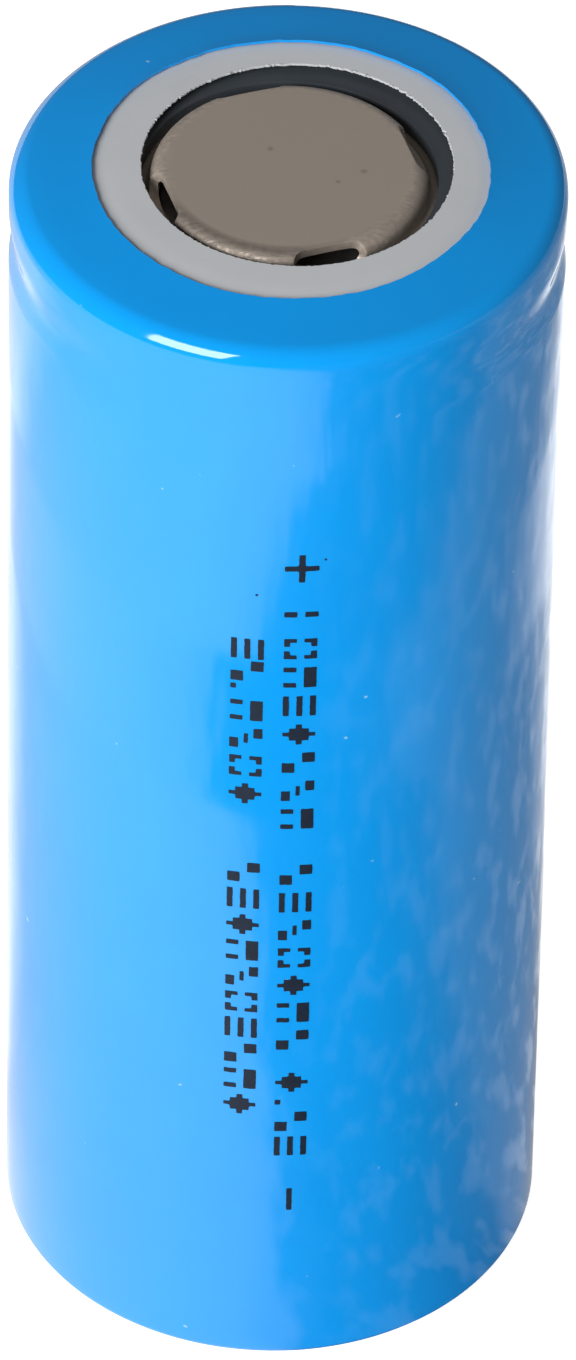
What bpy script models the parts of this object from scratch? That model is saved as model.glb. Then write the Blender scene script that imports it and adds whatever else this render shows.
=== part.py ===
"""Cylindrical lithium iron phosphate cell, 26 mm by 65 mm, in a shrink sleeve.

Metres, +Z up. The origin is the centre of the bottom face, on the cell's own
axis. The printed line of the sleeve faces -Y. The positive cap is at the top.
"""
import bmesh
import bpy
from math import asin, atan, cos, hypot, pi, radians, sin, sqrt, tau
from mathutils import Matrix

MM = 0.001
SIDES = 48                       # facets around every turned piece

# Whole cell, sleeve included
CELL_R = 13.10 * MM
CELL_H = 65.30 * MM
SLEEVE_WALL = 0.15 * MM
FIT_GAP = 0.05 * MM              # air between pieces that touch on the real cell

# Sleeve edges and the bead that the wall of the can is rolled into
TOP_LIP_HOLE_R = 9.32 * MM
BOTTOM_LIP_HOLE_R = 10.40 * MM
TOP_ROUND = 1.10 * MM
RIM_R = CELL_R - TOP_ROUND       # centre of the rounds of the film, the can and the gasket
TOP_SLOPE = 0.146                # the rim's top face falls outwards by this much
RIM_START = pi / 2 - atan(TOP_SLOPE)
BOTTOM_ROUND = 0.50 * MM
BEAD_Z = CELL_H - 5.30 * MM
BEAD_HALF_HEIGHT = 1.80 * MM
SLEEVE_BEAD_DEPTH = 0.10 * MM    # the film bridges the bead and hardly dips into it
CAN_BEAD_DEPTH = 1.50 * MM

# Can
CAN_R = CELL_R - SLEEVE_WALL - FIT_GAP
CAN_WALL = 0.30 * MM
CAN_BOTTOM_Z = SLEEVE_WALL + 0.03 * MM
CAN_FLOOR = 0.35 * MM
TERMINAL_STEP = 0.13 * MM        # the middle of the bottom is pressed out by this
TERMINAL_R = 10.00 * MM
CRIMP_HOLE_R = 8.60 * MM
FLOOR_FILLET = 0.40 * MM

# Fibre ring on the crimp, bent down with it outside the lip. Its hole is punched off centre
THIN_GAP = 0.03 * MM             # air between flat pieces that are stacked
RING_T = 0.10 * MM
RING_R = 11.00 * MM
RING_HOLE_R = 7.31 * MM
RING_HOLE_OFFSET = (0.38 * MM, 0.42 * MM)
RING_TOP_Z = CELL_H - SLEEVE_WALL - THIN_GAP
CRIMP_TOP_Z = RING_TOP_Z - RING_T - THIN_GAP

# Positive cap: a pressed hat with four vent windows in its shoulder
CAP_T = 0.40 * MM
CAP_TOP_Z = RING_TOP_Z + 0.08 * MM
CAP_FLAT_R = 5.74 * MM
CAP_SHOULDER_R = 6.52 * MM
CAP_FLANGE_Z = 63.83 * MM
HEADER_R = 11.20 * MM            # outside of everything that the gasket clamps
WINDOWS = 4
WINDOW_W = 3.60 * MM
WINDOW_CHORD_R = 5.80 * MM       # the window's inner edge, measured from the axis
WINDOW_REACH_R = 7.60 * MM
WINDOW_TURN = radians(18.6)
WINDOW_CORNER = 0.60 * MM
WINDOW_SILL = 0.10 * MM           # the windows stop this far above the flange

# Safety vent under the cap
DISC_T = 0.35 * MM
DISC_TOP_Z = CAP_FLANGE_Z - CAP_T - THIN_GAP
SCORE_R = 6.00 * MM
SCORE_GAP = 0.05 * MM
DISH_DEPTH = 0.42 * MM
DISH_FLAT_R = 2.00 * MM
INSULATOR_T = 0.42 * MM
INSULATOR_HOLE_R = 6.80 * MM
INSULATOR_TOP_Z = DISC_TOP_Z - DISC_T - THIN_GAP
PLATE_T = 0.52 * MM
PLATE_TOP_Z = INSULATOR_TOP_Z - INSULATOR_T - THIN_GAP
PLATE_BOTTOM_Z = PLATE_TOP_Z - PLATE_T
PLATE_HOLES = 6
PLATE_HOLE_R = 0.80 * MM
PLATE_HOLE_CIRCLE_R = 4.80 * MM

# Gasket
GASKET_R = 12.45 * MM
GASKET_LIP_R = 7.00 * MM
GASKET_TOP_Z = CRIMP_TOP_Z - CAN_WALL - 2 * THIN_GAP
GASKET_FOOT_R = 9.60 * MM
GASKET_FOOT_Z = 60.95 * MM

# Winding: fewer and thicker turns than the real roll, same space
ROLL_CORE_R = 2.00 * MM
ROLL_TURNS = 6
TURN_SIDES = 18
SEPARATOR_T = 0.10 * MM
CATHODE_T = 0.56 * MM
ANODE_T = 0.46 * MM
LAYER_GAP = 0.055 * MM
TURN_PITCH = 2 * SEPARATOR_T + CATHODE_T + ANODE_T + 4 * LAYER_GAP
SEPARATOR_Z = (1.50 * MM, 57.00 * MM)
ANODE_Z = (1.90 * MM, 56.60 * MM)
CATHODE_Z = (2.40 * MM, 56.10 * MM)
TAPE_R = 12.35 * MM
TAPE_T = 0.10 * MM
TAPE_Z = (16.0 * MM, 50.0 * MM)
TAPE_OPENING = radians(4.0)

# Insulating plates and tabs
TOP_PLATE_Z = 57.40 * MM
TOP_PLATE_T = 0.35 * MM
TOP_PLATE_R = 12.20 * MM
PLATE_CORE_R = 1.80 * MM
BOTTOM_PLATE_Z = 0.90 * MM
BOTTOM_PLATE_T = 0.30 * MM
BOTTOM_PLATE_R = 11.50 * MM
TAB_W = 4.00 * MM
TAB_T = 0.15 * MM
TAB_FOLD = 0.45 * MM
POSITIVE_TAB_X = 7.00 * MM
NEGATIVE_TAB_R = 12.12 * MM
NEGATIVE_TAB_TOP_Z = 14.0 * MM
TAB_TAPE_W = 5.20 * MM
POSITIVE_RUN_Z = TOP_PLATE_Z + TOP_PLATE_T + 0.9 * MM


def material(name, colour, roughness, metallic=0.0):
    made = bpy.data.materials.new(name)
    made.use_nodes = True
    shader = made.node_tree.nodes["Principled BSDF"]
    shader.inputs["Base Color"].default_value = (*colour, 1.0)
    shader.inputs["Roughness"].default_value = roughness
    shader.inputs["Metallic"].default_value = metallic
    return made


def finished(name, shape, look):
    """Write a bmesh into a named object that is shaded smooth between its edges."""
    mesh = bpy.data.meshes.new(name)
    shape.to_mesh(mesh)
    shape.free()
    mesh.shade_smooth()
    mesh.set_sharp_from_angle(angle=radians(30))
    mesh.materials.append(look)
    made = bpy.data.objects.new(name, mesh)
    bpy.context.collection.objects.link(made)
    return made


def arc(centre_r, centre_z, radius, start, end, steps):
    """Points of a fillet in the (r, z) half plane, from one angle to the other."""
    angles = [start + (end - start) * step / steps for step in range(steps + 1)]
    return [(centre_r + radius * cos(a), centre_z + radius * sin(a)) for a in angles]


def rim_centre_z(top, round_r):
    """Height of the centre of a rim's round, under a top face that slopes outwards."""
    edge_r = RIM_R + round_r * cos(RIM_START)
    return top - TOP_SLOPE * (edge_r - TOP_LIP_HOLE_R) - round_r * sin(RIM_START)


def turned_shape(outline):
    """Spin a closed outline of (r, z) points about the axis into a closed solid.

    A side that lies on the axis is left out, because it would make no face.
    """
    shape = bmesh.new()
    points = [shape.verts.new((r, 0.0, z)) for r, z in outline]
    sides = zip(points, points[1:] + points[:1])
    edges = [shape.edges.new(side) for side in sides if max(end.co.x for end in side) > 0.0]
    bmesh.ops.spin(shape, geom=points + edges, cent=(0, 0, 0), axis=(0, 0, 1),
                   angle=tau, steps=SIDES, use_duplicate=False)
    bmesh.ops.remove_doubles(shape, verts=shape.verts, dist=1e-7)
    bmesh.ops.recalc_face_normals(shape, faces=shape.faces)
    return shape


def bead(z, depth):
    """How far a wall is rolled in at height z: one smooth wave."""
    offset = (z - BEAD_Z) / BEAD_HALF_HEIGHT
    return 0.0 if abs(offset) >= 1.0 else depth * 0.5 * (1.0 + cos(pi * offset))


def beaded_wall(radius, depth, steps=8):
    """Points down a wall through the bead, from its top to its foot."""
    heights = [BEAD_Z + BEAD_HALF_HEIGHT * (1.0 - 2.0 * step / steps) for step in range(steps + 1)]
    return [(radius - bead(z, depth), z) for z in heights]


def cut(target, cutter, name):
    """Subtract a bmesh from an object, which keeps the Boolean as a modifier."""
    mesh = bpy.data.meshes.new(name)
    cutter.to_mesh(mesh)
    cutter.free()
    tool = bpy.data.objects.new(name, mesh)
    bpy.context.collection.objects.link(tool)
    tool.hide_render = True
    tool.display_type = "WIRE"
    step = target.modifiers.new(name, "BOOLEAN")
    step.operation = "DIFFERENCE"
    step.object = tool


def box_shape(size, centre, turn=0.0):
    shape = bmesh.new()
    bmesh.ops.create_cube(shape, size=1.0)
    place = Matrix.Rotation(turn, 4, "Z") @ Matrix.Translation(centre) @ Matrix.Diagonal((*size, 1.0))
    bmesh.ops.transform(shape, matrix=place, verts=shape.verts)
    return shape


def joined(shapes):
    """Put several separate bmeshes into one, as one cutter."""
    whole = bmesh.new()
    for shape in shapes:
        loose = bpy.data.meshes.new("loose")
        shape.to_mesh(loose)
        shape.free()
        whole.from_mesh(loose)
        bpy.data.meshes.remove(loose)
    return whole


def shrink_sleeve():
    """PVC film shrunk over the can, lapped onto the top ring and under the bottom."""
    inside_r = CELL_R - SLEEVE_WALL
    rim_z = rim_centre_z(CELL_H, TOP_ROUND)
    foot = 0.0
    heel_r = CELL_R - BOTTOM_ROUND
    outline = [(TOP_LIP_HOLE_R, CELL_H)]
    outline += arc(RIM_R, rim_z, TOP_ROUND, RIM_START, 0.0, 5)
    outline += beaded_wall(CELL_R, SLEEVE_BEAD_DEPTH)
    outline += arc(heel_r, foot + BOTTOM_ROUND, BOTTOM_ROUND, 0.0, -pi / 2, 3)
    outline += [(BOTTOM_LIP_HOLE_R, foot), (BOTTOM_LIP_HOLE_R, foot + SLEEVE_WALL)]
    outline += arc(heel_r, foot + BOTTOM_ROUND, BOTTOM_ROUND - SLEEVE_WALL, -pi / 2, 0.0, 3)
    outline += beaded_wall(inside_r, SLEEVE_BEAD_DEPTH)[::-1]
    outline += arc(RIM_R, rim_z, TOP_ROUND - SLEEVE_WALL, 0.0, RIM_START, 5)
    outline += [(TOP_LIP_HOLE_R, CELL_H - SLEEVE_WALL)]
    look = material("blue_film", (0.012, 0.235, 0.62), 0.22)
    return finished("shrink_sleeve", turned_shape(outline), look)


def top_insulator_ring():
    """Flat fibre ring that keeps the crimped can, which is negative, from the cap."""
    low, high = RING_TOP_Z - RING_T, RING_TOP_Z
    fall = TOP_SLOPE * (RING_R - TOP_LIP_HOLE_R)
    outline = [(RING_HOLE_R, high), (TOP_LIP_HOLE_R, high), (RING_R, high - fall)]
    outline += [(RING_R, low - fall), (TOP_LIP_HOLE_R, low), (RING_HOLE_R, low)]
    shape = turned_shape(outline)
    halfway = (RING_HOLE_R + TOP_LIP_HOLE_R) / 2
    hole = [vert for vert in shape.verts if hypot(vert.co.x, vert.co.y) < halfway]
    bmesh.ops.translate(shape, verts=hole, vec=(*RING_HOLE_OFFSET, 0.0))
    look = material("white_fibre", (0.62, 0.64, 0.65), 0.55)
    return finished("top_insulator_ring", shape, look)


def can():
    """Deep-drawn nickel-plated steel can: the negative pole, beaded and crimped."""
    inner_r = CAN_R - CAN_WALL
    top = CRIMP_TOP_Z
    crimp_round = CAN_R - RIM_R
    rim_z = rim_centre_z(top, crimp_round)
    heel_round = BOTTOM_ROUND - SLEEVE_WALL
    heel_r = CAN_R - heel_round
    foot = CAN_BOTTOM_Z
    step = TERMINAL_STEP
    outline = [(CRIMP_HOLE_R, top), (TOP_LIP_HOLE_R, top)]
    outline += arc(RIM_R, rim_z, crimp_round, RIM_START, 0.0, 4)
    outline += beaded_wall(CAN_R, CAN_BEAD_DEPTH)
    outline += arc(heel_r, foot + heel_round, heel_round, 0.0, -pi / 2, 2)
    outline += [(TERMINAL_R + step, foot), (TERMINAL_R, foot - step), (0.0, foot - step)]
    outline += [(0.0, foot + CAN_FLOOR - step), (TERMINAL_R, foot + CAN_FLOOR - step)]
    outline += [(TERMINAL_R + step, foot + CAN_FLOOR)]
    outline += [(inner_r - FLOOR_FILLET, foot + CAN_FLOOR), (inner_r, foot + CAN_FLOOR + FLOOR_FILLET)]
    outline += beaded_wall(inner_r, CAN_BEAD_DEPTH)[::-1]
    outline += arc(RIM_R, rim_z, crimp_round - CAN_WALL, 0.0, RIM_START, 4)
    outline += [(TOP_LIP_HOLE_R, top - CAN_WALL), (CRIMP_HOLE_R, top - CAN_WALL)]
    look = material("nickel_plated_steel", (0.56, 0.54, 0.51), 0.3, 1.0)
    return finished("can", turned_shape(outline), look)


def header_gasket():
    """Polypropylene grommet: a channel that grips the header all the way round."""
    rim_z = rim_centre_z(CRIMP_TOP_Z, CAN_R - RIM_R)
    hold_r = HEADER_R + FIT_GAP
    lip_under = CAP_FLANGE_Z + THIN_GAP
    foot_top = PLATE_BOTTOM_Z - THIN_GAP
    outline = [(GASKET_LIP_R, GASKET_TOP_Z), (TOP_LIP_HOLE_R, GASKET_TOP_Z)]
    outline += arc(RIM_R, rim_z, GASKET_R - RIM_R, RIM_START, 0.0, 4)
    outline += [(GASKET_R, GASKET_FOOT_Z + 0.9 * MM), (GASKET_R - 0.7 * MM, GASKET_FOOT_Z)]
    outline += [(GASKET_FOOT_R, GASKET_FOOT_Z), (GASKET_FOOT_R, foot_top), (hold_r, foot_top)]
    outline += [(hold_r, lip_under), (GASKET_LIP_R, lip_under)]
    look = material("black_polypropylene", (0.03, 0.032, 0.035), 0.5)
    return finished("header_gasket", turned_shape(outline), look)


def top_cap():
    """Pressed steel hat: flat contact face, rounded shoulder, wall and flange."""
    shoulder = CAP_SHOULDER_R - CAP_FLAT_R
    inner_shoulder = shoulder - CAP_T
    wall_in_r = CAP_SHOULDER_R - CAP_T
    under = CAP_TOP_Z - CAP_T
    foot = CAP_FLANGE_Z
    outline = [(0.0, CAP_TOP_Z)]
    outline += arc(CAP_FLAT_R, CAP_TOP_Z - shoulder, shoulder, pi / 2, 0.0, 4)
    outline += [(CAP_SHOULDER_R, foot), (HEADER_R, foot), (HEADER_R, foot - CAP_T)]
    outline += [(wall_in_r, foot - CAP_T)]
    outline += arc(wall_in_r - inner_shoulder, under - inner_shoulder, inner_shoulder, 0.0, pi / 2, 3)
    outline += [(0.0, under)]
    look = material("dull_nickel", (0.33, 0.29, 0.255), 0.42, 1.0)
    made = finished("top_cap", turned_shape(outline), look)
    depth = WINDOW_REACH_R - WINDOW_CHORD_R
    size = (depth, WINDOW_W, CAP_TOP_Z - foot + CAP_T)
    centre = (WINDOW_CHORD_R + depth / 2, 0.0, foot + WINDOW_SILL + size[2] / 2)
    windows = []
    for index in range(WINDOWS):
        window = box_shape(size, centre, WINDOW_TURN + tau * index / WINDOWS)
        upright = [e for e in window.edges if abs(e.verts[0].co.z - e.verts[1].co.z) > 0.5 * size[2]]
        bmesh.ops.bevel(window, geom=upright, offset=WINDOW_CORNER, segments=2, affect="EDGES")
        windows.append(window)
    cut(made, joined(windows), "window_cutter")
    return made


def vent_disc():
    """Clamped rim of the aluminium burst disc, outside its score line."""
    high, low = DISC_TOP_Z, DISC_TOP_Z - DISC_T
    edge = SCORE_R + SCORE_GAP / 2
    outline = [(edge, high), (HEADER_R, high), (HEADER_R, low), (edge, low)]
    look = material("soft_aluminium", (0.72, 0.73, 0.74), 0.35, 1.0)
    return finished("vent_disc", turned_shape(outline), look)


def vent_disc_centre():
    """Dished middle of the burst disc, inside the score line. It snaps upwards."""
    high, low = DISC_TOP_Z, DISC_TOP_Z - DISC_T
    edge = SCORE_R - SCORE_GAP / 2
    slope_r = DISH_FLAT_R + 2.4 * MM
    outline = [(0.0, high - DISH_DEPTH), (DISH_FLAT_R, high - DISH_DEPTH), (slope_r, high)]
    outline += [(edge, high), (edge, low), (slope_r, low)]
    outline += [(DISH_FLAT_R, low - DISH_DEPTH), (0.0, low - DISH_DEPTH)]
    look = material("soft_aluminium_centre", (0.72, 0.73, 0.74), 0.35, 1.0)
    return finished("vent_disc_centre", turned_shape(outline), look)


def vent_insulator_ring():
    """Plastic ring that holds the disc's rim off the plate that feeds it."""
    high, low = INSULATOR_TOP_Z, INSULATOR_TOP_Z - INSULATOR_T
    outline = [(INSULATOR_HOLE_R, high), (HEADER_R, high), (HEADER_R, low), (INSULATOR_HOLE_R, low)]
    look = material("white_polypropylene", (0.75, 0.75, 0.72), 0.5)
    return finished("vent_insulator_ring", turned_shape(outline), look)


def weld_plate():
    """Perforated aluminium plate that carries current from the tab to the disc."""
    high, low = PLATE_TOP_Z, PLATE_BOTTOM_Z
    outline = [(0.0, high), (HEADER_R, high), (HEADER_R, low), (0.0, low)]
    look = material("plate_aluminium", (0.66, 0.67, 0.68), 0.4, 1.0)
    made = finished("weld_plate", turned_shape(outline), look)
    drills = []
    for index in range(PLATE_HOLES):
        turn = tau * index / PLATE_HOLES
        place = Matrix.Translation((PLATE_HOLE_CIRCLE_R * cos(turn), PLATE_HOLE_CIRCLE_R * sin(turn), low))
        drill = bmesh.new()
        bmesh.ops.create_cone(drill, cap_ends=True, segments=12, radius1=PLATE_HOLE_R,
                              radius2=PLATE_HOLE_R, depth=4 * PLATE_T, matrix=place)
        drills.append(drill)
    cut(made, joined(drills), "gas_hole_cutter")
    return made


def strip_along(name, rows, thickness, look):
    """A thin strip through rows of points, with its thickness about the middle."""
    shape = bmesh.new()
    grid = [[shape.verts.new(point) for point in row] for row in rows]
    for row, following in zip(grid, grid[1:]):
        for index in range(len(row) - 1):
            shape.faces.new((row[index], row[index + 1], following[index + 1], following[index]))
    made = finished(name, shape, look)
    wall = made.modifiers.new("wall", "SOLIDIFY")
    wall.thickness = thickness
    wall.offset = 0.0
    wall.use_even_offset = True
    return made


def across(x, z, sag=0.0, half=TAB_W / 2, steps=4):
    """One row of points across a tab, from -Y to +Y, curved towards the axis by sag."""
    spots = [half * (2.0 * step / steps - 1.0) for step in range(steps + 1)]
    return [(x - sag * (NEGATIVE_TAB_R - sqrt(NEGATIVE_TAB_R ** 2 - y * y)), y, z) for y in spots]


def positive_tab():
    """Aluminium tab from the cathode foil, folded once up to the weld plate."""
    fold = TAB_FOLD
    top = PLATE_BOTTOM_Z - THIN_GAP - TAB_T / 2
    low = POSITIVE_RUN_Z
    edge = POSITIVE_TAB_X
    turn_x = -2.5 * MM
    route = [(edge, CATHODE_Z[1] + 1.15 * MM)]
    route += arc(edge - fold, low, fold, 0.0, pi / 2, 4)
    bulge = (top - low - fold) / 2
    route += arc(turn_x, low + fold + bulge, bulge, -pi / 2, -3 * pi / 2, 6)
    route += [(3.5 * MM, top)]
    rows = [across(x, z, steps=1) for x, z in route]
    return strip_along("positive_tab", rows, TAB_T, material("tab_aluminium", (0.7, 0.7, 0.7), 0.4, 1.0))


def positive_tab_tape():
    """Polyimide patch on the folded tab, where it faces the plate below."""
    z = POSITIVE_RUN_Z + TAB_FOLD - TAB_T / 2 - 0.09 * MM
    rows = [across(x, z, half=TAB_TAPE_W / 2, steps=1) for x in (5.2 * MM, -1.8 * MM)]
    return strip_along("positive_tab_tape", rows, 0.08 * MM, material("polyimide", (0.55, 0.24, 0.03), 0.3))


def negative_tab():
    """Nickel tab: curved against the last turn, folded under the roll to the middle."""
    fold = TAB_FOLD
    run_z = CAN_BOTTOM_Z + CAN_FLOOR + THIN_GAP + TAB_T / 2
    bend = arc(NEGATIVE_TAB_R - fold, run_z + fold, fold, 0.0, -pi / 2, 4)
    rows = [across(NEGATIVE_TAB_R, NEGATIVE_TAB_TOP_Z, 1.0)]
    rows += [across(x, z, 1.0) for x, z in bend]
    rows += [across(9.5 * MM, run_z, 0.4), across(6.0 * MM, run_z, 0.0), across(-2.0 * MM, run_z, 0.0)]
    return strip_along("negative_tab", rows, TAB_T, material("tab_nickel", (0.62, 0.6, 0.57), 0.35, 1.0))


def negative_tab_tape():
    """Polyimide patch between the tab's leg and the last turn of the roll."""
    radius = NEGATIVE_TAB_R + TAB_T / 2 + 0.06 * MM
    half = asin(TAB_TAPE_W / 2 / radius)
    rows = []
    for z in (11.0 * MM, 4.0 * MM):
        turns = [half * (step / 2.0 - 1.0) for step in range(5)]
        rows.append([(radius * cos(t), radius * sin(t), z) for t in turns])
    return strip_along("negative_tab_tape", rows, 0.06 * MM, material("leg_polyimide", (0.55, 0.24, 0.03), 0.3))


def plate(name, radius, low, thickness, hole_r, look):
    outline = [(hole_r, low + thickness), (radius, low + thickness), (radius, low), (hole_r, low)]
    return finished(name, turned_shape(outline), look)


def top_insulating_plate():
    """Thin plastic plate between the roll and the bead, slotted for the tab."""
    made = plate("top_insulating_plate", TOP_PLATE_R, TOP_PLATE_Z, TOP_PLATE_T, PLATE_CORE_R,
                 material("plate_polypropylene", (0.66, 0.68, 0.66), 0.5))
    slot = box_shape((1.0 * MM, TAB_W + 1.0 * MM, 2.0 * MM), (POSITIVE_TAB_X, 0.0, TOP_PLATE_Z))
    vents = [box_shape((1.4 * MM, 4.0 * MM, 2.0 * MM), (POSITIVE_TAB_X, 0.0, TOP_PLATE_Z), tau * k / 4)
             for k in (1, 2, 3)]
    cut(made, joined([slot] + vents), "plate_slot_cutter")
    return made


def bottom_insulating_plate():
    """Thin plastic plate between the roll and the tab on the floor of the can."""
    return plate("bottom_insulating_plate", BOTTOM_PLATE_R, BOTTOM_PLATE_Z, BOTTOM_PLATE_T, PLATE_CORE_R,
                 material("floor_polypropylene", (0.66, 0.68, 0.66), 0.5))


def band(name, sections, look):
    """A solid band through four-cornered sections, capped at its two ends."""
    shape = bmesh.new()
    rings = [[shape.verts.new(corner) for corner in section] for section in sections]
    for ring, following in zip(rings, rings[1:]):
        for side in range(4):
            other = (side + 1) % 4
            shape.faces.new((ring[side], ring[other], following[other], following[side]))
    shape.faces.new(rings[0])
    shape.faces.new(rings[-1])
    bmesh.ops.recalc_face_normals(shape, faces=shape.faces)
    return finished(name, shape, look)


def section_at(turn, inner, thickness, low, high):
    """Corners of a sheet's section at one turn about the axis."""
    corners = ((inner, low), (inner + thickness, low), (inner + thickness, high), (inner, high))
    return [(r * cos(turn), r * sin(turn), z) for r, z in corners]


def spiral(name, start_r, thickness, low, high, look):
    """One wound sheet: a spiral band of even thickness."""
    sections = []
    for step in range(ROLL_TURNS * TURN_SIDES + 1):
        turn = tau * step / TURN_SIDES
        sections.append(section_at(turn, start_r + TURN_PITCH * turn / tau, thickness, low, high))
    return band(name, sections, look)


def winding():
    """Cathode, separator, anode, separator: wound together about the hollow core."""
    radius = ROLL_CORE_R
    layers = (
        ("separator_inner", SEPARATOR_T, SEPARATOR_Z, material("inner_membrane", (0.8, 0.8, 0.8), 0.6)),
        ("cathode_winding", CATHODE_T, CATHODE_Z, material("iron_phosphate", (0.05, 0.05, 0.055), 0.8)),
        ("separator_outer", SEPARATOR_T, SEPARATOR_Z, material("outer_membrane", (0.8, 0.8, 0.8), 0.6)),
        ("anode_winding", ANODE_T, ANODE_Z, material("graphite", (0.025, 0.025, 0.025), 0.7)),
    )
    for name, thickness, (low, high), look in layers:
        spiral(name, radius, thickness, low, high, look)
        radius += thickness + LAYER_GAP


def winding_tape():
    """Closing tape round the finished roll, open by a few degrees where it ends."""
    sections = []
    for step in range(SIDES + 1):
        turn = TAPE_OPENING + (tau - 2.0 * TAPE_OPENING) * step / SIDES
        sections.append(section_at(turn, TAPE_R, TAPE_T, *TAPE_Z))
    return band("winding_tape", sections, material("green_tape", (0.02, 0.25, 0.12), 0.4))


for old in list(bpy.data.objects):
    bpy.data.objects.remove(old)

shrink_sleeve()
top_insulator_ring()
can()
header_gasket()
top_cap()
vent_disc()
vent_disc_centre()
vent_insulator_ring()
weld_plate()
positive_tab()
positive_tab_tape()
negative_tab()
negative_tab_tape()
top_insulating_plate()
bottom_insulating_plate()
winding()
winding_tape()
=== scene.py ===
"""A 26 mm by 65 mm round lithium cell in a blue shrink sleeve, dressed around its CAD frame.

Metres, +Z up, on the CAD model's axes: the cell stands on z = 0 and its print faces -Y.
The sections follow the cell from the studio to the sleeve, the top, the print and the inside.
"""
from math import atan, atan2, cos, hypot, pi, radians, sin, tau
from random import Random

import bpy
from mathutils import Matrix, Vector, noise


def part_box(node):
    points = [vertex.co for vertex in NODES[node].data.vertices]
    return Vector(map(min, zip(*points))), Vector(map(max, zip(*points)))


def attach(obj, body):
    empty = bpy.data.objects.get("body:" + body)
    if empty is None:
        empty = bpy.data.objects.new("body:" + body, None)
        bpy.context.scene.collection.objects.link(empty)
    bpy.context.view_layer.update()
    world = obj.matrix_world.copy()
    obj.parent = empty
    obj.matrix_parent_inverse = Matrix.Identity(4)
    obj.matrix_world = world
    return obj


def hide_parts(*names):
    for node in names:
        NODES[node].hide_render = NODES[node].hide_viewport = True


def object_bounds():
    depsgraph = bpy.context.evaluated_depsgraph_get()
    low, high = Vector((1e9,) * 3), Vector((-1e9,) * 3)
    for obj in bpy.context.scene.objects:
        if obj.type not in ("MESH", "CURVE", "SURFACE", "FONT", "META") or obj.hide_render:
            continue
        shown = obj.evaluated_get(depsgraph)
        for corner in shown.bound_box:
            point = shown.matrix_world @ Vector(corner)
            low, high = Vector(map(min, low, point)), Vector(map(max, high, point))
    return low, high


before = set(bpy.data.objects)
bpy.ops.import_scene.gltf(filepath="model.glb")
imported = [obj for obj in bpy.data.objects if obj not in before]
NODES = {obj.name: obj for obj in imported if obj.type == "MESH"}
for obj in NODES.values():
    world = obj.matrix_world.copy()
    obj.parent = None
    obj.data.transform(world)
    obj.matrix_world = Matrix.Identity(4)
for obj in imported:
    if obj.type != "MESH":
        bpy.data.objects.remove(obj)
cad_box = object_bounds()
bpy.ops.object.select_all(action="DESELECT")

# ---------------------------------------------------------------- Camera
# A long lens, far away, looks down on the cell from in front. It is aimed a little beside
# the middle of the cell and rolled slightly, so that the cell leans to the right.
CELL_LOW, CELL_HIGH = (Vector(corner) for corner in cad_box)
CELL_R = (CELL_HIGH.x - CELL_LOW.x) / 2
CELL_TOP = CELL_HIGH.z
CAMERA_ELEVATION = radians(42.24)
CAMERA_ROLL = radians(1.18)
CAMERA_DISTANCE = 0.673
CAMERA_LENS = 369.1
AIM_RIGHT = 0.00044
AIM_UP = 0.00021

camera_data = bpy.data.cameras.new("studio_camera")
camera_data.lens = CAMERA_LENS
camera_data.sensor_width = 36.0
camera_data.clip_start = 0.01
camera_data.clip_end = 20.0
camera = bpy.data.objects.new("studio_camera", camera_data)
bpy.context.collection.objects.link(camera)
towards_camera = Vector((0.0, -cos(CAMERA_ELEVATION), sin(CAMERA_ELEVATION)))
camera_up = Vector((0.0, sin(CAMERA_ELEVATION), cos(CAMERA_ELEVATION)))
aim = Vector((AIM_RIGHT, 0.0, CELL_TOP / 2)) + AIM_UP * camera_up
turn = towards_camera.to_track_quat("Z", "Y").to_matrix().to_4x4()
camera.matrix_world = (Matrix.Translation(aim + CAMERA_DISTANCE * towards_camera) @ turn
                       @ Matrix.Rotation(CAMERA_ROLL, 4, "Z"))
bpy.context.scene.camera = camera
bpy.context.scene.view_settings.view_transform = "Standard"

# ---------------------------------------------------------------- Floor and light
# A pale sweep, a dim room, one big soft box in front on the left, and a weaker one on the
# right. A low bright sheet round the cell is what its polished sides mirror.


def new_material(name):
    """A material whose node tree is still empty."""
    made = bpy.data.materials.new(name)
    made.use_nodes = True
    made.node_tree.nodes.clear()
    return made


def node(tree, kind, inputs=None, **settings):
    """Add a node, set its properties, and set or link its inputs by name or number."""
    made = tree.nodes.new("ShaderNode" + kind)
    for key, value in settings.items():
        setattr(made, key, value)
    for key, value in (inputs or {}).items():
        if isinstance(value, bpy.types.NodeSocket):
            tree.links.new(value, made.inputs[key])
        else:
            made.inputs[key].default_value = value
    return made


def stage_plane(name, size, height):
    bpy.ops.mesh.primitive_plane_add(size=size, location=(0.0, 0.0, height))
    made = bpy.context.object
    made.name = name
    bpy.ops.object.transform_apply(location=True, rotation=False, scale=False)
    return made


FLOOR_WHITE = (0.82, 0.82, 0.82, 1.0)
FLOOR_GLOW = 0.90
FLOOR_SIZE = 6.0
# A hair below the foot of the sleeve, so that the two faces never fight.
FLOOR_HEIGHT = -0.00003
floor = stage_plane("studio_floor", FLOOR_SIZE, FLOOR_HEIGHT)
pale = new_material("pale_floor")
tree = pale.node_tree
paper = node(tree, "BsdfDiffuse", {"Color": FLOOR_WHITE})
glow = node(tree, "Emission", {"Color": (1.0, 1.0, 1.0, 1.0), "Strength": FLOOR_GLOW})
seen = node(tree, "LightPath").outputs["Is Camera Ray"]
lit = node(tree, "AddShader", {0: paper.outputs[0], 1: glow.outputs[0]})
mixed = node(tree, "MixShader", {0: seen, 1: paper.outputs[0], 2: lit.outputs[0]})
node(tree, "OutputMaterial", {"Surface": mixed.outputs[0]})
floor.data.materials.append(pale)

SHEET_SIZE = 0.9
SHEET_HEIGHT = 0.0001
SHEET_BRIGHT = 1.8
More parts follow.
